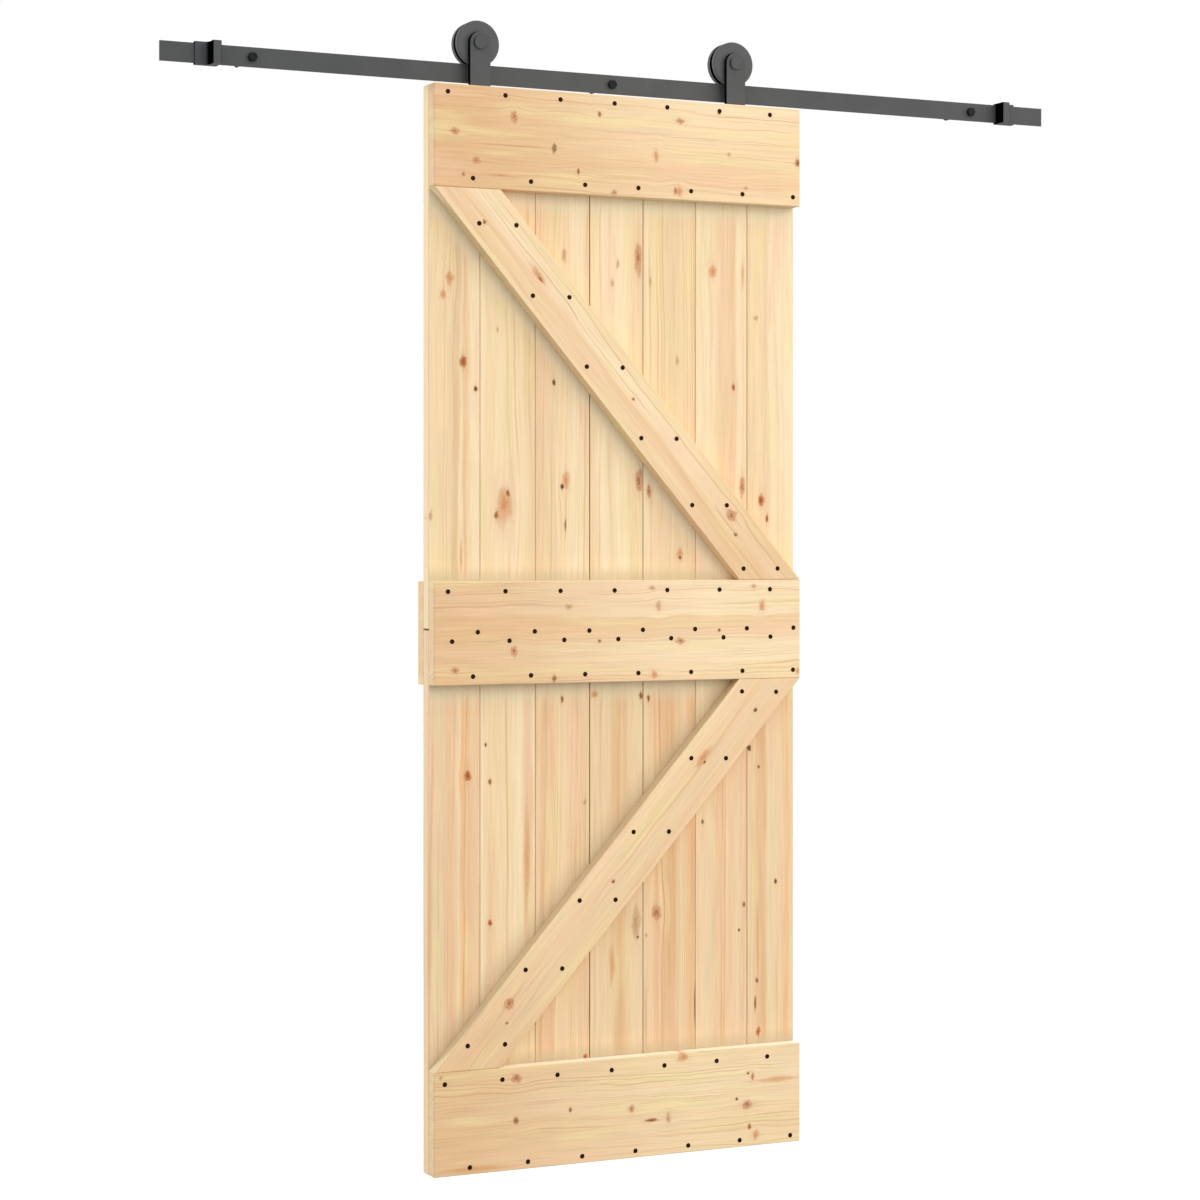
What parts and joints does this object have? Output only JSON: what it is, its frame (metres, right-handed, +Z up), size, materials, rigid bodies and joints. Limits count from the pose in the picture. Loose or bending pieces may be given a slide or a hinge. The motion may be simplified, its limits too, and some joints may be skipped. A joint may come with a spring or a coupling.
{
  "type": "sliding barn door with track",
  "caption": "Braced pine plank door hung by two strap hangers with grooved wheels that roll along a flat wall-mounted steel track between end stops.",
  "frame": {"origin": "centre of the middle spacer's wall end, on the wall's face and on the middle lag bolt's axis", "axes": "+Z up, +Y into the wall, +X along the track to the right of someone who faces the door"},
  "size_m": [1.955, 0.1865, 2.2383],
  "materials": {
    "pine_planks": "raw planed knotty pine, unfinished",
    "pine_battens": "raw planed knotty pine, unfinished",
    "powder_coated_steel": "dark grey satin powder coat",
    "black_oxide_steel": "black oxide"
  },
  "bodies": {
    "track": {"track_rail": "powder_coated_steel", "left_spacer": "powder_coated_steel", "middle_spacer": "powder_coated_steel", "right_spacer": "powder_coated_steel", "left_lag_bolt": "black_oxide_steel", "middle_lag_bolt": "black_oxide_steel", "right_lag_bolt": "black_oxide_steel", "left_end_stop": "powder_coated_steel", "right_end_stop": "powder_coated_steel"},
    "door": {"lower_plank_1": "pine_planks", "lower_plank_2": "pine_planks", "lower_plank_3": "pine_planks", "lower_plank_4": "pine_planks", "lower_plank_5": "pine_planks", "lower_plank_6": "pine_planks", "lower_plank_7": "pine_planks", "upper_plank_1": "pine_planks", "upper_plank_2": "pine_planks", "upper_plank_3": "pine_planks", "upper_plank_4": "pine_planks", "upper_plank_5": "pine_planks", "upper_plank_6": "pine_planks", "upper_plank_7": "pine_planks", "top_rail": "pine_battens", "middle_rail": "pine_battens", "bottom_rail": "pine_battens", "back_middle_rail": "pine_battens", "upper_brace": "pine_battens", "lower_brace": "pine_battens", "left_hanger_strap": "powder_coated_steel", "right_hanger_strap": "powder_coated_steel", "left_axle_bolt": "powder_coated_steel", "left_axle_collar": "powder_coated_steel", "left_axle_nut": "powder_coated_steel", "right_axle_bolt": "powder_coated_steel", "right_axle_collar": "powder_coated_steel", "right_axle_nut": "powder_coated_steel"},
    "left_wheel_body": {"left_wheel": "powder_coated_steel"},
    "right_wheel_body": {"right_wheel": "powder_coated_steel"}
  },
  "joints": [
    {"name": "door_slide", "type": "slide", "parent": "track", "child": "door", "axis": [1, 0, 0], "range_m": [-0.494, 0.607]},
    {"name": "left_wheel_spin", "type": "hinge", "parent": "door", "child": "left_wheel_body", "pos_m": [-0.2945, -0.0385, 0.05855], "axis": [0, 1, 0], "continuous": true},
    {"name": "right_wheel_spin", "type": "hinge", "parent": "door", "child": "right_wheel_body", "pos_m": [0.2685, -0.0385, 0.05855], "axis": [0, 1, 0], "continuous": true}
  ],
  "couplings": [
    {"joint": "left_wheel_spin", "follows": "door_slide", "rad_per_m": 25.317},
    {"joint": "right_wheel_spin", "follows": "door_slide", "rad_per_m": 25.317}
  ]
}
